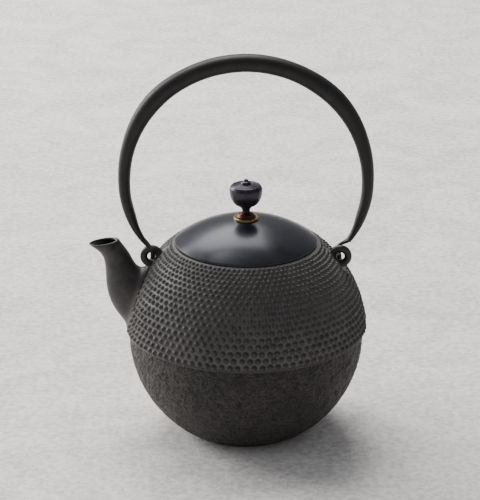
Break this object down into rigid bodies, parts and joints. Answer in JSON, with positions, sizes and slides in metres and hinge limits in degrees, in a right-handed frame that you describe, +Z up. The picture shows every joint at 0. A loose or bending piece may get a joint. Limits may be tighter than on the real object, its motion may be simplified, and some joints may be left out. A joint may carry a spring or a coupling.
{
  "type": "teapot with infuser",
  "caption": "Ball-shaped cast-iron teapot with a hobnailed upper half, domed lift-off lid with turned knob, short spout, hanging infuser basket and tall swinging bail handle.",
  "frame": {"origin": "centre of the flat base, on the surface the pot stands on", "axes": "+Z up through the lid's knob, -X along the spout, +Y across it; the bail's pivots lie on a line along X"},
  "size_m": [0.1779, 0.1498, 0.2465],
  "materials": {
    "pot_iron": "dark brown-black cast iron, matt, hobnailed above the ridge and rough below it",
    "spout_iron": "smoother blue-black cast iron",
    "bail_iron": "near-black forged iron, satin",
    "lid_copper": "smooth blue-grey patinated copper, soft gloss",
    "knob_bronze": "dark purple-brown patinated bronze, turned",
    "seat_copper": "reddish brown patinated copper",
    "seat_brass": "pale worn brass",
    "infuser_steel": "pressed stainless steel",
    "infuser_mesh": "fine stainless mesh"
  },
  "bodies": {
    "pot": {"pot_lower_half": "pot_iron", "pot_upper_half": "pot_iron", "pot_mouth_ring": "pot_iron", "spout": "spout_iron", "lug_spout_side": "spout_iron", "lug_far_side": "spout_iron"},
    "bail": {"bail_handle": "bail_iron", "bail_hook_spout_side": "bail_iron", "bail_hook_far_side": "bail_iron"},
    "infuser": {"infuser_rim": "infuser_steel", "infuser_wall": "infuser_mesh", "infuser_floor": "infuser_mesh", "infuser_hoop": "infuser_steel"},
    "lid": {"lid_dome": "lid_copper", "lid_skirt": "lid_copper"},
    "knob": {"knob": "knob_bronze", "knob_rivet": "knob_bronze", "rivet_washer": "seat_brass", "knob_seat_cup": "seat_copper", "knob_seat_ring": "seat_brass"}
  },
  "joints": [
    {"name": "bail_swing", "type": "hinge", "parent": "pot", "child": "bail", "pos_m": [0, 0, 0.12007], "axis": [1, 0, 0], "range_deg": [-90, 90]},
    {"name": "infuser_lift", "type": "slide", "parent": "pot", "child": "infuser", "axis": [0, 0, 1], "range_m": [0, 0.044]},
    {"name": "lid_lift", "type": "slide", "parent": "infuser", "child": "lid", "axis": [0, 0, 1], "range_m": [0, 0.022]},
    {"name": "knob_spin", "type": "hinge", "parent": "lid", "child": "knob", "pos_m": [0, 0, 0.1404], "axis": [0, 0, 1], "continuous": true}
  ]
}
